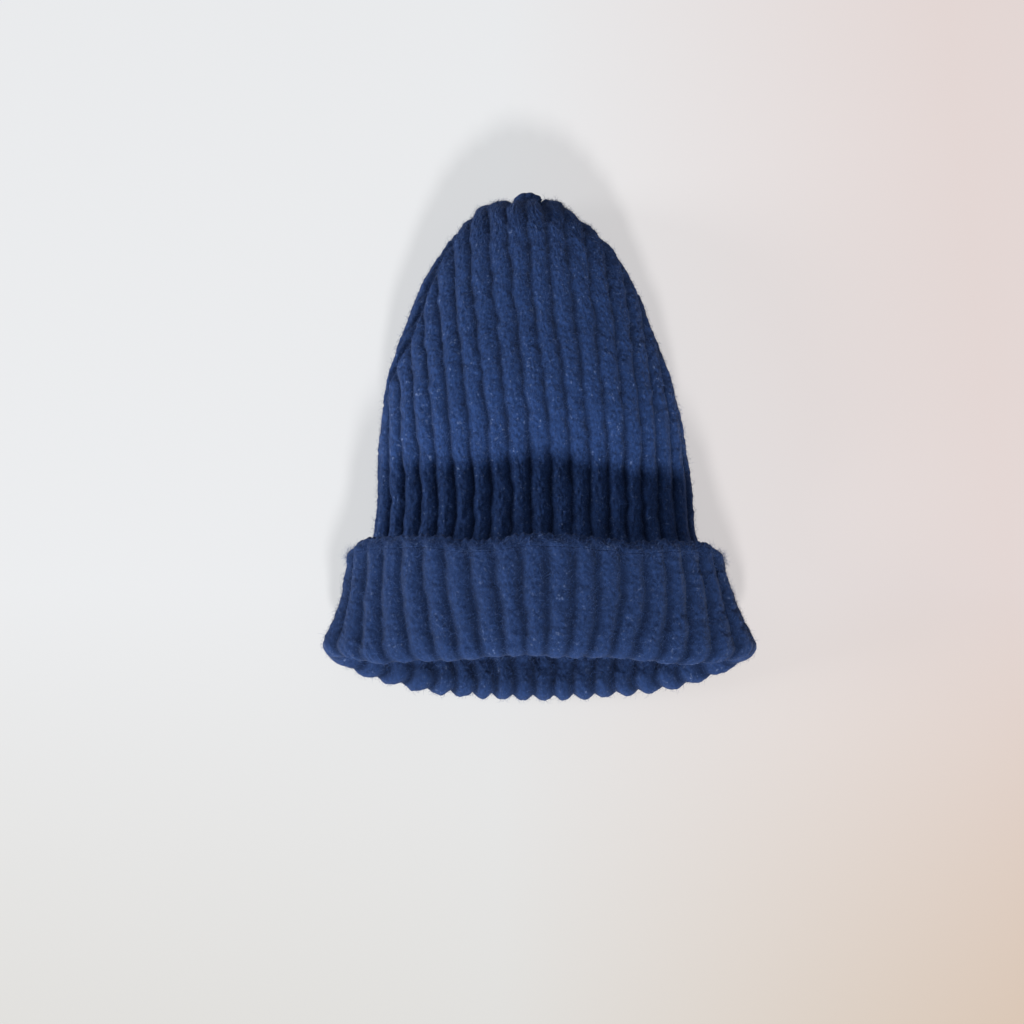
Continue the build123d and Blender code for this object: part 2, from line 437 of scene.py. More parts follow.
def face_directions(points):
    """Unit normals of a grid of points that is closed round the hat."""
    down = np.gradient(points, axis=0)
    round_ = (np.roll(points, -1, axis=1) - np.roll(points, 1, axis=1)) / 2
    normal = np.cross(round_, down)
    return normal / np.maximum(np.linalg.norm(normal, axis=2, keepdims=True), 1e-9)


direction = face_directions(middle)
hollow = np.array([0.0, 120.0, 25.0])      # a point inside the hat, which tells out from in
if float(np.sum(direction[BODY_ROWS // 2] * (middle[BODY_ROWS // 2] - hollow) * (1, 0, 1))) < 0:
    direction = -direction

across = round_the_hat[None, :] * np.ones((rows_total, 1))
lump = cloth_noise(across, along, 30, 14.0, 21)
pill = cloth_noise(across, along, 190, 3.1, 22)
fluff = cloth_noise(across, along, 420, 1.5, 23)
swell = cloth_noise(across, along, 9, 45.0, 24)
wander = 0.07 * cloth_noise(across, along, 38, 14.0, 25) + 0.07 * cloth_noise(across, along, 76, 5.0, 26)
closing = 0.5 + 0.5 * cloth_noise(across, along, 76, 6.5, 27)
squeeze = 1 - 0.8 * np.exp(-(along / 9.0) ** 2)
finish = np.clip((along.max(axis=0)[None, :] - along) / 4.0, 0.0, 1.0)
near_seam = ease((height_up - SHAPING_START) / 30.0)
seam_dip = near_seam * np.exp(-(seam_distance / 1.8) ** 2)
seam_roll = near_seam * np.exp(-((seam_distance - 3.4) / 1.6) ** 2)
seam_fade = 1 - 0.6 * near_seam * np.exp(-(seam_distance / 3.0) ** 2)
gather = ease((height_up - 250.0) / 22.0)


def crease(from_point, to_point, width, depth):
    """A pinched fold across the upper crown, between two (x, distance up) points on its front."""
    a = np.array(from_point)
    b = np.array(to_point)
    p = np.stack([middle[..., 0], height_up], -1)
    t = np.clip(((p - a) @ (b - a)) / ((b - a) @ (b - a)), 0, 1)
    gap = np.linalg.norm(p - (a + t[..., None] * (b - a)), axis=2)
    front = ease((direction[..., 2] + 0.2) / 0.4)
    return -depth * front * np.exp(-(gap / width) ** 2) * (1 - 0.5 * t)


PLEATS = (                         # from, to, width and depth of the creases beside the gathered top
    ((0.5, 274.0), (7.0, 247.0), 1.9, 4.2),
    ((-11.0, 273.0), (-15.5, 260.0), 1.7, 3.6),
    ((15.0, 266.0), (24.0, 250.0), 2.0, 1.6))
pinches = sum(crease(*pleat) for pleat in PLEATS)


def outer_face():
    """Height of the outer face above the middle surface, and its ridge mask."""
    ridge = rib_ridge(rib + wander, 0.72)
    ridge = (1 - (1 - ridge) * (1 - 0.4 * closing)) * seam_fade
    relief = stitch_relief(rib + wander, along)
    h = CORE + CROWN_RIDGE * squeeze * ridge * (1 - 0.6 * gather)
    h += (0.12 * relief + 0.38 * pill + 0.22 * fluff) * squeeze * ridge
    h += 0.5 * lump * squeeze + 0.7 * swell * squeeze * (1 - gather)
    h += -0.8 * seam_dip + 0.7 * seam_roll + pinches
    return h, ridge


def inner_face():
    """The same for the face that the cuff shows."""
    ridge = rib_ridge(rib + 0.5 + 0.7 * wander, 1.05)
    ridge = 1 - (1 - ridge) * (1 - 0.25 * closing)
    relief = stitch_relief(rib + 0.5 + 0.7 * wander, along)
    on_cuff = ease((along + 14.0) / 10.0)
    rounded = np.sqrt(np.clip(1 - (1 - finish) ** 2, 0, 1))
    pulled = 1 - 0.75 * front * np.exp(-(along / 6.5) ** 2)
    h = CORE + (CROWN_RIDGE + (CUFF_RIDGE - CROWN_RIDGE) * on_cuff) * ridge * rounded * pulled
    h += (0.09 * relief + 0.42 * pill + 0.24 * fluff) * ridge
    h += 0.45 * lump * on_cuff
    return h, ridge


outer_height, outer_ridge = outer_face()
inner_height, inner_ridge = inner_face()
outer = middle + direction * outer_height[..., None]
inner = middle - direction * inner_height[..., None]


def pressed(face):
    """A face whose lowest ribs are squashed against the table by the hat's own weight."""
    z = face[..., 2]
    low = SQUASH * np.exp(np.minimum(z - SQUASH, 0.0) / SQUASH)
    return np.concatenate([face[..., :2], np.where(z < SQUASH, low, z)[..., None]], -1)


outer = pressed(outer)
inner = pressed(inner)
print("cloth is", round(float((outer_height + inner_height).mean()), 1), "mm thick on average")

# %% [markdown]
# ## From grids to closed pieces
#
# A cloth piece has to be a closed body with two faces and two rims, so that it has a real thickness and
# can be printed. One helper joins the two grids. A face that shows keeps every row; a face that can't be
# seen keeps fewer, because nobody would miss them.

# %% Mesh helpers
def new_object(name, points, faces, values=None, flat=0):
    """A mesh object from points in millimetres measured from the mouth. Its last faces can be flat."""
    mesh = bpy.data.meshes.new(name)
    placed = np.array(points, dtype=float).reshape(-1, 3) * MM
    placed[:, 1] += MOUTH_Y * MM
    faces = np.asarray(faces)
    mesh.vertices.add(len(placed))
    mesh.vertices.foreach_set("co", placed.ravel())
    mesh.loops.add(faces.size)
    mesh.loops.foreach_set("vertex_index", faces.ravel())
    mesh.polygons.add(len(faces))
    mesh.polygons.foreach_set("loop_start", np.arange(0, faces.size, faces.shape[1]))
    mesh.polygons.foreach_set("use_smooth", np.arange(len(faces)) < len(faces) - flat)
    if values is not None:
        # The ridge mask also sets where the marl group lays painted shade into the grooves.
        mesh.attributes.new("ridge", "FLOAT", "POINT").data.foreach_set("value", values.ravel())
    mesh.update(calc_edges=True)
    mesh.validate()
    piece = bpy.data.objects.new(name, mesh)
    bpy.context.scene.collection.objects.link(piece)
    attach(piece, "root")
    return piece


def grid_faces(rows, columns, first, flip):
    """Quads of a grid closed round the hat, whose points start at index first."""
    r = np.arange(rows - 1)[:, None]
    c = np.arange(columns)[None, :]
    d = (c + 1) % columns
    a = first + r * columns
    quads = np.stack([a + c, a + d, a + columns + d, a + columns + c], -1).reshape(-1, 4)
    return quads[:, ::-1] if flip else quads


def closed_cloth(name, face_a, face_b, ridge_a, ridge_b, rows_a, rows_b):
    """A closed band of cloth from the chosen rows of its two faces, joined along both rims."""
    n = face_a.shape[1]
    a = face_a[rows_a]
    b = face_b[rows_b]
    points = np.concatenate([a.reshape(-1, 3), b.reshape(-1, 3)])
    values = np.concatenate([ridge_a[rows_a].ravel(), ridge_b[rows_b].ravel()])
    start_b = len(a) * n
    c = np.arange(n)
    d = (c + 1) % n
    top = np.stack([c, start_b + c, start_b + d, d], -1)
    last_a = (len(a) - 1) * n
    last_b = start_b + (len(b) - 1) * n
    end = np.stack([last_a + c, last_a + d, last_b + d, last_b + c], -1)
    faces = np.concatenate([
        grid_faces(len(a), n, 0, False), grid_faces(len(b), n, start_b, True), top, end])
    return new_object(name, points, faces, values, flat=2 * n)


def thin_rows(first, last, every):
    """Row numbers from first to last, every so many, with both ends kept."""
    return np.unique(np.concatenate([np.arange(first, last, every), [last - 1]]))


# %% Body and cuff
LIP = int(24.0 / ROW)                   # the cuff's roll reaches this far inside the mouth
EDGE_ROWS = int(5.0 / ROW)              # the cast-on edge
SEEN_INSIDE = int(95.0 / ROW)           # the inside that can be seen through the mouth
split = fold_first - LIP
edge_split = rows_total - EDGE_ROWS

deep = thin_rows(0, split - SEEN_INSIDE, 4)
body = closed_cloth(
    "beanie_body", outer, inner, outer_ridge, inner_ridge,
    np.arange(0, split + 1), np.concatenate([deep, np.arange(split - SEEN_INSIDE, split + 1)]))
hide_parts("knit_body")

cuff = closed_cloth(
    "turned_up_cuff", outer, inner, outer_ridge, inner_ridge,
    thin_rows(split, edge_split + 1, 2), np.arange(split, edge_split + 1))
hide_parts("turn_up_cuff")
for piece in (body, cuff):
    print(piece.name, len(piece.data.polygons), "faces")

# %% [markdown]
# ## The cast-on edge
#
# The edge that the knitting started from is a soft, rounded cord-like hem. It closes the two faces of the
# cloth over a half round, and its loops make it a little uneven.

# %% Cast-on edge
def edge_band():
    """The last rows of the cloth, closed over a rounded hem."""
    a = outer[edge_split:]
    b = inner[edge_split:]
    hub = (a[-1] + b[-1]) / 2
    spoke = (a[-1] - b[-1]) / 2
    forward = middle[-1] - middle[-3]
    forward /= np.linalg.norm(forward, axis=1, keepdims=True)
    reach = np.linalg.norm(spoke, axis=1, keepdims=True)
    loops = 1 + 0.22 * np.sin(2 * np.pi * rib[-1] * 3.0)[:, None]
    turns = np.linspace(0, math.pi, 9)[1:-1]
    rim = [hub + spoke * math.cos(t) + forward * reach * loops * math.sin(t) for t in turns]
    ring = np.concatenate([a, np.array(rim), b[::-1]])
    n = ring.shape[1]
    faces = grid_faces(len(ring), n, 0, False)
    c = np.arange(n)
    d = (c + 1) % n
    last = (len(ring) - 1) * n
    close = np.stack([last + c, last + d, d, c], -1)
    fade = np.linspace(0, 1, len(b))[:, None]
    values = np.concatenate([
        outer_ridge[edge_split:] * (1 - fade) + 0.9 * fade, np.full((len(rim), n), 0.9),
        (inner_ridge[edge_split:] * (1 - fade) + 0.9 * fade)[::-1]])
    return new_object("cast_on_edge_band", ring, np.concatenate([faces, close]), values, flat=n)


edge = edge_band()
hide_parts("cast_on_edge")
print(edge.name, len(edge.data.polygons), "faces")

# %% [markdown]
# ## The gathered top
#
# The last round of stitches is drawn together on a yarn and makes a small puckered button. A plain ball
# would look like a bead, so the button has lobes of gathered stitches, a dimple in the middle and the
# same yarn as the cloth.

# %% Gathered top
def place_of(node):
    """Middle and half size of a CAD node, in millimetres measured from the mouth."""
    low, high = (np.array(corner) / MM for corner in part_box(node))
    middle_point = (low + high) / 2
    middle_point[1] -= MOUTH_Y
    return middle_point, (high - low) / 2


BUTTON_SIZE = (1.06, 1.25, 0.95)   # the button's half size over the CAD nub's
BUTTON_TUCK = 2.4                  # it sinks this far between the pleats, millimetres


def gathered_button():
    """A lobed button round the CAD nub's axis."""
    hub, half = place_of("gathered_top")
    turns = 96
    rings = 40
    v = np.linspace(0.02, math.pi - 0.02, rings)[:, None]
    u = np.linspace(0, 2 * math.pi, turns, endpoint=False)[None, :]
    lobe = 1 + 0.13 * np.abs(np.sin(3.5 * u + 0.5 * np.cos(v))) - 0.07
    lumps = 1 + 0.05 * cloth_noise(u / (2 * math.pi) + 0 * v, 9 * v + 0 * u, 17, 1.0, 31)
    radius = np.sin(v) ** 0.8 * lobe * lumps
    x = hub[0] + BUTTON_SIZE[0] * half[0] * radius * np.cos(u)
    z = hub[2] + BUTTON_SIZE[2] * half[2] * radius * np.sin(u)
    dimple = 1.2 * np.exp(-(radius / 0.35) ** 2) * (v < math.pi / 2)
    y = hub[1] - BUTTON_TUCK + BUTTON_SIZE[1] * half[1] * np.cos(v) * (1 + 0 * u) - dimple
    points = np.stack([x, y, z], -1)
    faces = grid_faces(rings, turns, 0, True)
    caps = [list(range(turns)), list(range((rings - 1) * turns, rings * turns))]
    piece = new_object("gathered_top_button", points, faces, 0.75 + 0 * x)
    mesh = piece.data
    work = bmesh.new()
    work.from_mesh(mesh)
    work.verts.ensure_lookup_table()
    work.faces.new([work.verts[i] for i in caps[0]])
    work.faces.new([work.verts[i] for i in reversed(caps[1])])
    bmesh.ops.recalc_face_normals(work, faces=work.faces)
    work.to_mesh(mesh)
    work.free()
    return piece


button = gathered_button()
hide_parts("gathered_top")
print(button.name, len(button.data.polygons), "faces")

# %% [markdown]
# ## Yarns
#
# Sewing yarn and yarn ends are two plies twisted together. A plain tube would look like wire, so each yarn
# is two thin strands that wind round a route. The routes of the hidden yarns follow their CAD nodes.

# %% Yarn helper
def resample(points, spacing):
    """Points at an even spacing along a smooth curve through the given ones."""
    points = np.array(points, dtype=float)
    gaps = np.linalg.norm(np.diff(points, axis=0), axis=1)
    t = np.concatenate([[0.0], np.cumsum(gaps)])
    count = max(8, int(t[-1] / spacing))
    q = np.linspace(0, t[-1], count)
    table = np.column_stack([t, points])
    return np.stack([column_curve(table, c)(q) for c in (1, 2, 3)], -1)


def strand(route, radius, sides):
    """Ring points and faces of one thin tube along a route, and the two directions across it."""
    tangent = np.gradient(route, axis=0)
    tangent /= np.linalg.norm(tangent, axis=1, keepdims=True)
    up = np.where(np.abs(tangent[:, 2:3]) > 0.9, [[1.0, 0.0, 0.0]], [[0.0, 0.0, 1.0]])
    side = np.cross(tangent, up)
    side /= np.linalg.norm(side, axis=1, keepdims=True)
    over = np.cross(side, tangent)
    angle = np.linspace(0, 2 * math.pi, sides, endpoint=False)
    size = np.full(len(route), radius)
    size[0] = size[-1] = radius * 0.15
    ring = (np.cos(angle)[None, :, None] * side[:, None] + np.sin(angle)[None, :, None] * over[:, None])
    points = route[:, None] + ring * size[:, None, None]
    return points.reshape(-1, 3), grid_faces(len(route), sides, 0, False), side, over


def plied_yarn(name, routes, radius, twist=4.0, sides=8):
    """Two strands twisted round each route, as one mesh object."""
    all_points = []
    all_faces = []
    count = 0
    for route in routes:
        path = resample(route, radius * 0.9)
        tangent_length = np.linalg.norm(np.gradient(path, axis=0), axis=1)
        turn = 2 * math.pi * np.cumsum(tangent_length) / (twist * 2 * radius)
        _, _, side, over = strand(path, radius, 3)
        for start in (0.0, math.pi):
            swing = np.cos(turn + start)[:, None] * side + np.sin(turn + start)[:, None] * over
            points, faces, _, _ = strand(path + swing * radius * 0.48, radius * 0.56, sides)
            all_points.append(points)
            all_faces.append(faces + count)
            count += len(points)
    return new_object(name, np.concatenate(all_points), np.concatenate(all_faces), np.full(count, 0.6))


def surface_point(panel_column, y, lift):
    """A point above the outer face of the body, by column and distance up the hat."""
    row = int(np.argmin(np.abs(y_body[:, panel_column] - y)))
    height = outer_height[row, panel_column] + lift
    return middle[row, panel_column] + direction[row, panel_column] * height


# %% [markdown]
# ## The crown's side seams
#
# Where the crown's ribs run out, a dark yarn whips the front panel to the back one. A straight line of yarn
# would look glued on, so the yarn goes over and under the two edges, half sunk in the fluff.

# %% Crown side seams
SEAM_STITCH = 4.2
SEAM_FROM = SEAM_SHOWS - 26.0      # where the stitching starts, up the hat,
SEAM_TO = 266.0                    # and where it ends
SEAM_COLUMNS = {"right_crown_seam": 0, "left_crown_seam": RIBS * PER_RIB}


def seam_route(column):
    """A slanting over-and-under route of sewing yarn along one side seam."""
    heights = np.arange(SEAM_FROM, SEAM_TO, SEAM_STITCH / 2)
    route = []
    for number, y in enumerate(heights):
        swing = 2 if number % 2 else -2
        route.append(surface_point((column + swing) % COLUMNS, y, 0.15 if number % 2 else -0.45))
    return route


for node, column in SEAM_COLUMNS.items():
    seam = plied_yarn(node + "_yarn", [seam_route(column)], 0.42)
    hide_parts(node)
    print(seam.name, len(seam.data.polygons), "faces")

# %% [markdown]
# ## Hidden yarns
#
# Out of sight are the back seam and its run through the cuff, the loop that draws the top together, its
# knot, and two yarn ends. They could stay plain CAD tubes, but whoever turns the hat over would see them,
# so they get plies too.

# %% Hidden seams
def ladder(node, stitch, swing, lift):
    """A zigzag of sewing yarn along a CAD yarn that runs up the hat."""
    hub, half = place_of(node)
    ys = np.arange(hub[1] - half[1] + 1, hub[1] + half[1] - 1, stitch / 2)
    route = []
    for number, y in enumerate(ys):
        sideways = swing if number % 2 else -swing
        z = lift(y) + (0.4 if number % 4 < 2 else 0.0)
        route.append((hub[0] + sideways, y, z))
    return route


def inside_floor(y):
    """Height of the cloth's inner face along the middle of the underside."""
    column = RIBS * PER_RIB + RIBS * PER_RIB // 2
    row = int(np.argmin(np.abs(y_body[:, column] - y)))
    near = inner[max(0, row - 3):row + 4, column - 6:column + 7, 2]
    return float(near.max()) + 0.5


seam = plied_yarn("back_seam_yarn", [ladder("back_seam", 5.0, 0.8, inside_floor)], 0.45)
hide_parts("back_seam")
cuff_hub, _ = place_of("cuff_seam")
seam = plied_yarn("cuff_seam_yarn", [ladder("cuff_seam", 5.0, 0.5, lambda y: cuff_hub[2])], 0.4)
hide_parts("cuff_seam")
print("back seam and cuff seam made")

# %% Cinch loop, knot and yarn ends
def loop_route(node, turns):
    """A coil round a node whose axis runs up the hat, wound the given number of times."""
    hub, half = place_of(node)
    angle = np.linspace(0, 2 * math.pi * turns, int(40 * turns))
    x = hub[0] + 0.85 * half[0] * np.cos(angle)
    y = hub[1] + 0.5 * half[1] * np.sin(angle * 0.5)
    z = hub[2] + 0.85 * half[2] * np.sin(angle)
    return np.stack([x, y, z], -1)


cinch = plied_yarn("crown_cinch_loop", [loop_route("crown_cinch_yarn", 1.96)], 0.5)
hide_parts("crown_cinch_yarn")


def knot_route(node):
    """An overhand knot, as a trefoil, filling a CAD node."""
    hub, half = place_of(node)
    t = np.linspace(0, 2 * math.pi, 60)
    x = np.sin(t) + 2 * np.sin(2 * t)
    y = np.cos(t) - 2 * np.cos(2 * t)
    z = -np.sin(3 * t)
    return hub + np.stack([x, z, y], -1) * half * 0.29


knot = plied_yarn("cinch_knot_yarn", [knot_route("cinch_knot")], 0.55)
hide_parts("cinch_knot")


def tail_route(node, bow):
    """A slack yarn end from corner to corner of a CAD node, sagging by the bow in its middle."""
    hub, half = place_of(node)
    t = np.linspace(-1, 1, 9)
    longest = int(np.argmax(half))
    route = np.tile(hub, (9, 1))
    for axis in range(3):
        sign = 1.0 if axis == longest else -1.0
        route[:, axis] += sign * t * half[axis] * 0.8
    route[:, 2] += bow * (1 - t**2)
    return route


for node, slot_name in (("crown_yarn_tail", "seam_yarn"), ("cast_on_tail", "cast_on_yarn")):
    tail = plied_yarn(node + "_end", [tail_route(node, -0.4)], 0.5)
    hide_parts(node)
print("yarns made; hidden ones follow their CAD nodes")

# %% [markdown]
# ## Fluff
#
# Brushed yarn sends fine fibres out of every stitch. They soften the ribs and give the outline its haze.
# Hair curves would be quick, but they aren't meshes, so each fibre is a thin three-sided hair of two
# bent segments. Most lie nearly flat along the cloth; a few stand up.

# %% Fibres
HAIR = 0.045                       # radius of a fibre, millimetres
HAIR_FACES = (
    (0, 2, 1), (0, 1, 4), (0, 4, 3), (1, 2, 5), (1, 5, 4),
    (2, 0, 3), (2, 3, 5), (3, 4, 6), (4, 5, 6), (5, 3, 6))


def not_underneath(root, n):
    """Leaves out fibres on the side that is pressed against the table."""
    return (n[:, 2] > -0.55) & (root[:, 2] > 1.0)


def fibres(name, face, normal, rows, count, length, lift, seed):
    """A mat of bent hairs rooted in random places of a face's rows."""
    dice = np.random.default_rng(seed)
    r = dice.uniform(rows[0], rows[1] - 1.001, count)
    c = dice.uniform(0, COLUMNS, count)
    i = r.astype(int)
    j = c.astype(int) % COLUMNS
    root = face[i, j] + (face[i, (j + 1) % COLUMNS] - face[i, j]) * (c % 1.0)[:, None]
    n = normal[i, j]
    chosen = not_underneath(root, n)
    root = root[chosen]
    n = n[chosen]
    count = len(root)
    wild = dice.normal(size=(count, 3))
    flat = wild - n * np.sum(wild * n, axis=1, keepdims=True)
    flat /= np.linalg.norm(flat, axis=1, keepdims=True)
    size = length * np.minimum(dice.lognormal(0.0, 0.45, count), 2.0)[:, None]
    stand = lift * dice.lognormal(0.0, 0.6, count)[:, None]
    bend = dice.normal(size=(count, 3)) * 0.28
    aim_a = flat + n * (stand + 0.5)
    aim_b = flat + n * (stand - 0.35) + bend
    root = root - n * 0.25
    knee = root + size * 0.5 * aim_a / np.linalg.norm(aim_a, axis=1, keepdims=True)
    tip = knee + size * 0.5 * aim_b / np.linalg.norm(aim_b, axis=1, keepdims=True)
    side = np.cross(aim_a, n)
    side /= np.linalg.norm(side, axis=1, keepdims=True)
    over = np.cross(side, aim_a)
    over /= np.linalg.norm(over, axis=1, keepdims=True)
    corner = [side * math.cos(a) + over * math.sin(a) for a in (0.0, 2.094, 4.189)]
    levels = [root + k * HAIR for k in corner] + [knee + k * HAIR * 0.8 for k in corner] + [tip]
    points = np.stack(levels, 1).reshape(-1, 3)
    points[:, 2] = np.maximum(points[:, 2], 0.15)
    base = 7 * np.arange(count)[:, None]
    faces = (base[:, None, :] + np.array(HAIR_FACES)[None, :, :]).reshape(-1, 3)
    return new_object(name, points, faces, np.full(len(points), 1.0))


print("one fibre has", len(HAIR_FACES), "faces")

# %% Fluff on the crown, the cuff and the edge
scale_count = 1.0
past_fold = int(30 / ROW)          # the cuff's fluff starts this far inside the mouth, and the crown's
                                   # stops this far short of the cuff's roll
outer_normal = face_directions(outer)
inner_normal = face_directions(inner)
if float(np.sum(outer_normal * direction)) < 0:
    outer_normal = -outer_normal
if float(np.sum(inner_normal * -direction)) < 0:
    inner_normal = -inner_normal
crown_rows = (4, split - past_fold)
cuff_rows = (fold_first - past_fold, edge_split)
edge_rows = (rows_total - int(7 / ROW), rows_total)
fluff_jobs = (                     # name, face, its normals, rows, fibres, length, lift, slot and seed
    ("crown_fluff", outer, outer_normal, crown_rows, 52000, 2.6, 0.28, "marled_rib", 41),
    ("cuff_fluff", inner, inner_normal, cuff_rows, 34000, 2.6, 0.28, "cuff_rib", 42),
    ("edge_fluff", inner, inner_normal, edge_rows, 5000, 3.4, 0.6, "cast_on_yarn", 43),
)
fluff_pieces = []
for name, face, normal, rows, count, length, lift, slot_name, seed in fluff_jobs:
    piece = fibres(name, face, normal, rows, int(count * scale_count), length, lift, seed)
    fluff_pieces.append(piece)
    print(name, len(piece.data.polygons) // 10, "fibres")

# %% [markdown]
# ## Materials
#
# The yarn is marled: royal and navy fibres spun together, with a few pale ones. An image could carry that
# mix, but noise reaches every face without unwrapping. Two effects appear in every yarn here, so each is a
# node group: one mixes the marl's colours in streaks that run up the ribs and lays painted shade into the
# grooves, and the other makes the fine felted bump. The shader itself stays in the material.

# %% Node group helpers
def group_tree(name, inputs, outputs):
    """An empty shader group with typed, named sockets; returns its nodes and end nodes."""
    tree = bpy.data.node_groups.new(name, "ShaderNodeTree")
    for socket, kind, default in inputs:
        made = tree.interface.new_socket(socket, in_out="INPUT", socket_type=kind)
        made.default_value = default
    for socket, kind in outputs:
        tree.interface.new_socket(socket, in_out="OUTPUT", socket_type=kind)
    return tree, tree.nodes.new("NodeGroupInput"), tree.nodes.new("NodeGroupOutput")


def noise_node(tree, vector, scale, detail, rough=0.5):
    """A noise texture reading a vector socket."""
    node = tree.nodes.new("ShaderNodeTexNoise")
    node.inputs["Scale"].default_value = scale
    node.inputs["Detail"].default_value = detail
    node.inputs["Roughness"].default_value = rough
    tree.links.new(vector, node.inputs["Vector"])
    return node


def ramp_node(tree, factor, low, high, floor=0.0):
    """Maps a factor from low..high to floor..1, clamped."""
    node = tree.nodes.new("ShaderNodeMapRange")
    node.inputs["To Min"].default_value = floor
    node.inputs["From Min"].default_value = low
    node.inputs["From Max"].default_value = high
    tree.links.new(factor, node.inputs["Value"])
    return node


def mix_colour(tree, factor, a, b):
    """Mixes two colour sockets by a factor socket."""
    node = tree.nodes.new("ShaderNodeMix")
    node.data_type = "RGBA"
    tree.links.new(factor, node.inputs[0])
    tree.links.new(a, node.inputs[6])
    tree.links.new(b, node.inputs[7])
    return node.outputs[2]


def stretched(tree, stretch):
    """Object coordinates squeezed along the hat, so that noise streaks run up the ribs."""
    place = tree.nodes.new("ShaderNodeTexCoord")
    mapping = tree.nodes.new("ShaderNodeMapping")
    mapping.inputs["Scale"].default_value = (1.0, stretch, 1.0)
    tree.links.new(place.outputs["Object"], mapping.inputs["Vector"])
    return mapping.outputs["Vector"]


# %% Marl group
def marl_group():
    """Streaks and flecks of three yarn colours, with painted shade that darkens them down in the grooves."""
    tree, start, end = group_tree(
        "marled yarn",
        [("Dark", "NodeSocketColor", (0, 0, 0, 1)), ("Mid", "NodeSocketColor", (0, 0, 0, 1)),
         ("Light", "NodeSocketColor", (1, 1, 1, 1)), ("Groove Shade", "NodeSocketFloat", 0.5)],
        [("Color", "NodeSocketColor")])
    fine = noise_node(tree, stretched(tree, 0.45), 900.0, 3.0, 0.65)
    broad = noise_node(tree, stretched(tree, 0.6), 140.0, 2.0)
    streak = ramp_node(tree, fine.outputs["Fac"], 0.36, 0.64, 0.35)
    patch = ramp_node(tree, broad.outputs["Fac"], 0.32, 0.68)
    base = mix_colour(tree, streak.outputs["Result"], start.outputs["Dark"], start.outputs["Mid"])
    fibre = noise_node(tree, stretched(tree, 0.8), 620.0, 2.0, 0.6)
    fleck = ramp_node(tree, fibre.outputs["Fac"], 0.62, 0.72)
    soft = tree.nodes.new("ShaderNodeMath")
    soft.operation = "MULTIPLY"
    tree.links.new(fleck.outputs["Result"], soft.inputs[0])
    tree.links.new(patch.outputs["Result"], soft.inputs[1])
    flecked = mix_colour(tree, soft.outputs[0], base, start.outputs["Light"])
    # Painted shade: down in the grooves the colour is pulled towards the Dark colour, by the ridge mask.
    ridge = tree.nodes.new("ShaderNodeAttribute")
    ridge.attribute_name = "ridge"
    shade = ramp_node(tree, ridge.outputs["Fac"], 0.30, 0.84)
    invert = tree.nodes.new("ShaderNodeMath")
    invert.operation = "SUBTRACT"
    invert.inputs[0].default_value = 1.0
    tree.links.new(shade.outputs["Result"], invert.inputs[1])
    depth = tree.nodes.new("ShaderNodeMath")
    depth.operation = "MULTIPLY"
    tree.links.new(invert.outputs[0], depth.inputs[0])
    tree.links.new(start.outputs["Groove Shade"], depth.inputs[1])
    groove_shaded = mix_colour(tree, depth.outputs[0], flecked, start.outputs["Dark"])
    tree.links.new(groove_shaded, end.inputs["Color"])
    return tree


def felt_group():
    """Fine felted bump height and a roughness that varies with it."""
    tree, start, end = group_tree(
        "felted fluff",
        [("Roughness", "NodeSocketFloat", 0.9), ("Spread", "NodeSocketFloat", 0.1)],
        [("Height", "NodeSocketFloat"), ("Roughness", "NodeSocketFloat")])
    hairs = noise_node(tree, stretched(tree, 0.4), 1500.0, 4.0, 0.7)
    clumps = noise_node(tree, stretched(tree, 0.8), 420.0, 2.0)
    total = tree.nodes.new("ShaderNodeMath")
    total.operation = "ADD"
    tree.links.new(hairs.outputs["Fac"], total.inputs[0])
    tree.links.new(clumps.outputs["Fac"], total.inputs[1])
    vary = tree.nodes.new("ShaderNodeMath")
    vary.operation = "MULTIPLY_ADD"
    tree.links.new(clumps.outputs["Fac"], vary.inputs[0])
    tree.links.new(start.outputs["Spread"], vary.inputs[1])
    tree.links.new(start.outputs["Roughness"], vary.inputs[2])
    tree.links.new(total.outputs[0], end.inputs["Height"])
    tree.links.new(vary.outputs[0], end.inputs["Roughness"])
    return tree


marl = marl_group()
felt = felt_group()
print("groups:", marl.name, "and", felt.name)

# %% Yarn materials
def yarn_material(name, dark, mid, light, groove, bump, sheen):
    """A fluffy yarn finish from the two groups; groove sets the strength of the painted shade in the grooves.
    """
    material = bpy.data.materials.new(name)
    material.use_nodes = True
    tree = material.node_tree
    shader = tree.nodes["Principled BSDF"]
    colour = tree.nodes.new("ShaderNodeGroup")
    colour.node_tree = marl
    for socket, value in (("Dark", dark), ("Mid", mid), ("Light", light)):
        colour.inputs[socket].default_value = (*value, 1.0)
    colour.inputs["Groove Shade"].default_value = groove
    surface = tree.nodes.new("ShaderNodeGroup")
    surface.node_tree = felt
    surface.inputs["Roughness"].default_value = 0.82
    surface.inputs["Spread"].default_value = 0.12
    relief = tree.nodes.new("ShaderNodeBump")
    relief.inputs["Strength"].default_value = bump
    relief.inputs["Distance"].default_value = 0.35 * MM
    tree.links.new(colour.outputs["Color"], shader.inputs["Base Color"])
    tree.links.new(surface.outputs["Roughness"], shader.inputs["Roughness"])
    tree.links.new(surface.outputs["Height"], relief.inputs["Height"])
    tree.links.new(relief.outputs["Normal"], shader.inputs["Normal"])
    shader.inputs["Specular IOR Level"].default_value = 0.15
    shader.inputs["Sheen Weight"].default_value = sheen
    shader.inputs["Sheen Roughness"].default_value = 0.55
    shader.inputs["Sheen Tint"].default_value = (0.45, 0.6, 1.0, 1.0)
    return material


def darker(colour, share):
    """A colour with only a share of its light, or more than its own where the share is over 1."""
    return tuple(value * share for value in colour)


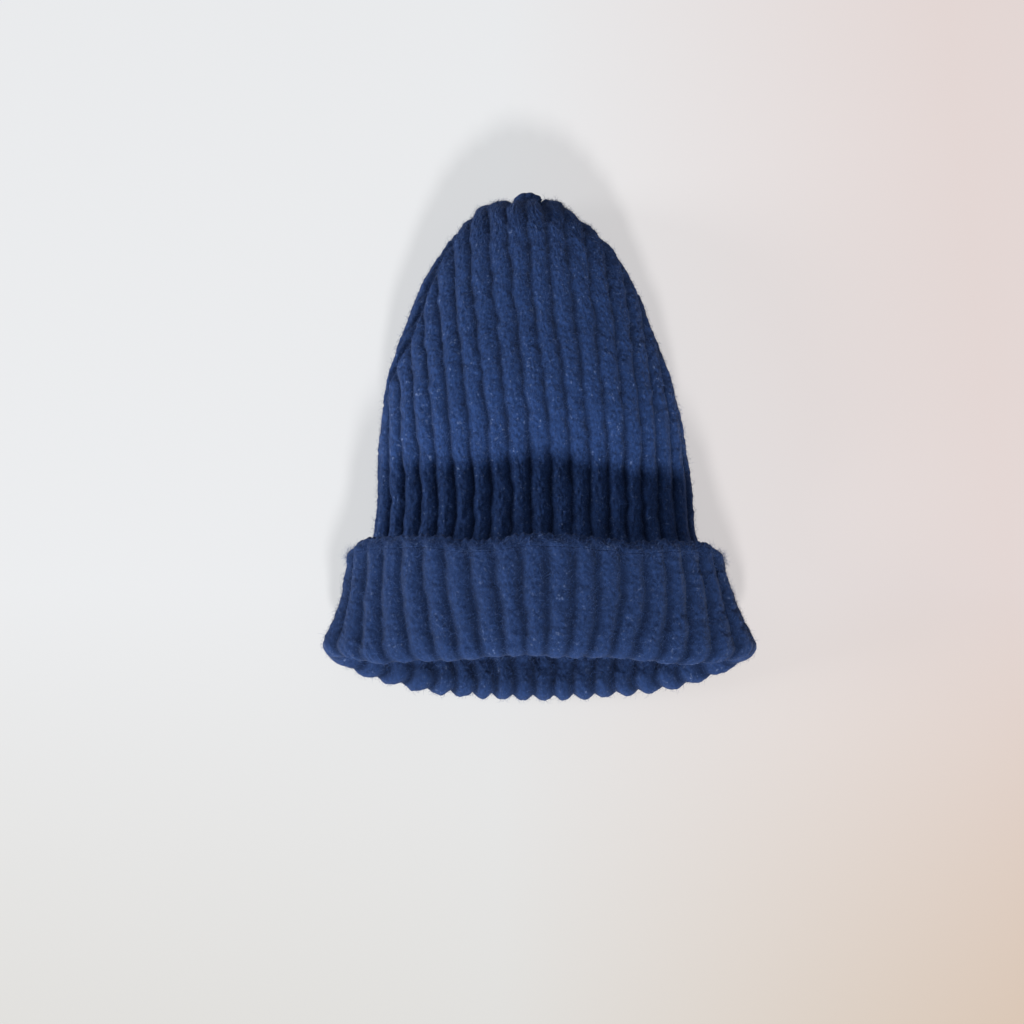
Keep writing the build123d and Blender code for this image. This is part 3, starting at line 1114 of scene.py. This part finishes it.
NAVY = (0.0025, 0.0110, 0.043)
ROYAL = (0.0145, 0.0412, 0.142)
PALE = (0.110, 0.165, 0.330)
# The fifth value of each finish is the strength of its painted groove shade.
body_cloth = yarn_material("brushed marl rib", NAVY, ROYAL, PALE, 0.9, 0.5, 0.10)
# Painted shade: the cuff's cloth is the body's yarn darkened, with dimmer pale flecks, to tone down the cuff
# where it faces the front window more squarely.
shaded_cuff_cloth = yarn_material(
    "brushed marl rib darkened with painted shade for the cuff", NAVY, darker(ROYAL, 0.73), darker(PALE, 0.6), 1.0, 0.6, 0.10)
# Painted shade: the yarn of the cast-on edge is darkened the same way, to match the cuff.
shaded_edge_yarn = yarn_material("cast-on yarn darkened with painted shade", NAVY, darker(ROYAL, 0.74), PALE, 0.9, 0.6, 0.10)
seam_yarn = yarn_material("navy sewing yarn", NAVY, darker(ROYAL, 0.5), ROYAL, 0.5, 0.5, 0.05)
fluff_fibre = yarn_material("loose fluff", darker(ROYAL, 0.8), darker(ROYAL, 1.3), PALE, 0.0, 0.0, 0.2)

FINISH = {
    "marled_rib": body_cloth, "cuff_rib": shaded_cuff_cloth, "cast_on_yarn": shaded_edge_yarn, "seam_yarn": seam_yarn}
BY_PIECE = {
    "beanie_body": "marled_rib", "turned_up_cuff": "cuff_rib", "cast_on_edge_band": "cast_on_yarn",
    "gathered_top_button": "marled_rib", "cast_on_tail_end": "cast_on_yarn"}
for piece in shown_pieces():
    if piece in fluff_pieces:
        piece.data.materials.append(fluff_fibre)
    else:
        piece.data.materials.append(FINISH[BY_PIECE.get(piece.name, "seam_yarn")])
print("finishes:", ", ".join(m.name for m in bpy.data.materials if m.users))

# %% [markdown]
# ## Table, light and camera
#
# A matt table, cool on the left and warmer on the right, looks pale mostly through its painted glow. The
# light is a bright, soft room with a low window in front of the hat, so that the cuff throws a shade onto the
# crown and the whole hat throws a long faint one past its tip. A wider, lower window on the left brightens
# that flank.

# %% Table
GLOW = 0.69                        # painted glow that the table gives off though it is no lamp; it keeps the shadows on it faint
DULL = 0.26                        # and how much of its colour it reflects
FAR_LEFT = (0.825, 0.835, 0.850)
FAR_RIGHT = (0.785, 0.690, 0.670)
NEAR_LEFT = (0.700, 0.685, 0.655)
NEAR_RIGHT = (0.650, 0.505, 0.375)


def table_material():
    """Matt off-white, cool at the far left and warmer and duller towards the near right; most of its
    brightness is painted glow, not reflected light.
    """
    material = bpy.data.materials.new("pale matt table with painted glow")
    material.use_nodes = True
    tree = material.node_tree
    shader = tree.nodes["Principled BSDF"]
    place = tree.nodes.new("ShaderNodeTexCoord")
    parts = tree.nodes.new("ShaderNodeSeparateXYZ")
    tree.links.new(place.outputs["Object"], parts.inputs[0])
    colours = []
    for value in (FAR_LEFT, FAR_RIGHT, NEAR_LEFT, NEAR_RIGHT):
        node = tree.nodes.new("ShaderNodeRGB")
        node.outputs[0].default_value = (*value, 1.0)
        colours.append(node.outputs[0])
    rightward = ramp_node(tree, parts.outputs["X"], -0.02, 0.24).outputs["Result"]
    nearer = ramp_node(tree, parts.outputs["Y"], -0.08, -0.36).outputs["Result"]
    far = mix_colour(tree, rightward, colours[0], colours[1])
    near = mix_colour(tree, rightward, colours[2], colours[3])
    mixed = mix_colour(tree, nearer, far, near)
    dulled = tree.nodes.new("ShaderNodeVectorMath")
    dulled.operation = "SCALE"
    dulled.inputs["Scale"].default_value = DULL
    tree.links.new(mixed, dulled.inputs[0])
    tree.links.new(dulled.outputs[0], shader.inputs["Base Color"])
    # Painted glow: the table emits its own colour, so shadows on it stay faint.
    tree.links.new(mixed, shader.inputs["Emission Color"])
    shader.inputs["Emission Strength"].default_value = GLOW
    shader.inputs["Roughness"].default_value = 0.9
    shader.inputs["Specular IOR Level"].default_value = 0.0
    return material


bpy.ops.mesh.primitive_plane_add(size=6.0, location=(0, 0, 0))
table = bpy.context.object
table.name = "table_top"
table.data.materials.append(table_material())
print("table:", round(table.dimensions.x, 1), "m wide")

# %% Light
AIM = Vector((0.0, 0.02, 0.02))


def window(name, azimuth, elevation, distance, size, power, colour):
    """A round soft light; azimuth 0 stands in front of the mouth, and 90 on the right."""
    light = bpy.data.lights.new(name, "AREA")
    light.shape = "DISK"
    light.size = size
    light.energy = power
    light.color = colour
    lamp = bpy.data.objects.new(name, light)
    a = math.radians(azimuth)
    e = math.radians(elevation)
    offset = Vector((math.sin(a) * math.cos(e), -math.cos(a) * math.cos(e), math.sin(e)))
    lamp.location = AIM + offset * distance
    lamp.rotation_euler = (-offset).to_track_quat("-Z", "Y").to_euler()
    bpy.context.scene.collection.objects.link(lamp)
    return lamp


window("front_window", 2.0, 27.0, 6.0, 0.7, 552.0, (1.0, 0.985, 0.97))
window("left_window", -86.0, 13.0, 6.0, 2.4, 350.0, (0.97, 0.985, 1.0))
world = bpy.data.worlds.new("soft room")
bpy.context.scene.world = world
world.use_nodes = True
backdrop = world.node_tree.nodes["Background"]
backdrop.inputs["Color"].default_value = (0.955, 0.975, 1.0, 1.0)
backdrop.inputs["Strength"].default_value = 0.32
bpy.context.scene.view_settings.view_transform = "Standard"

# %% Camera
ELEVATION = math.radians(73.0)
DISTANCE = 0.711
target = Vector((-0.0134, cad_box[0][1] + 0.0903, 0.030))
camera_data = bpy.data.cameras.new("overhead")
camera_data.lens = 50.0
camera = bpy.data.objects.new("overhead", camera_data)
backward = Vector((0, -math.cos(ELEVATION), math.sin(ELEVATION)))
camera.location = target + backward * DISTANCE
camera.rotation_euler = (-backward).to_track_quat("-Z", "Y").to_euler()
bpy.context.scene.collection.objects.link(camera)
bpy.context.scene.camera = camera
print("camera:", round(DISTANCE, 2), "m from the hat,", round(math.degrees(ELEVATION)), "degrees up")
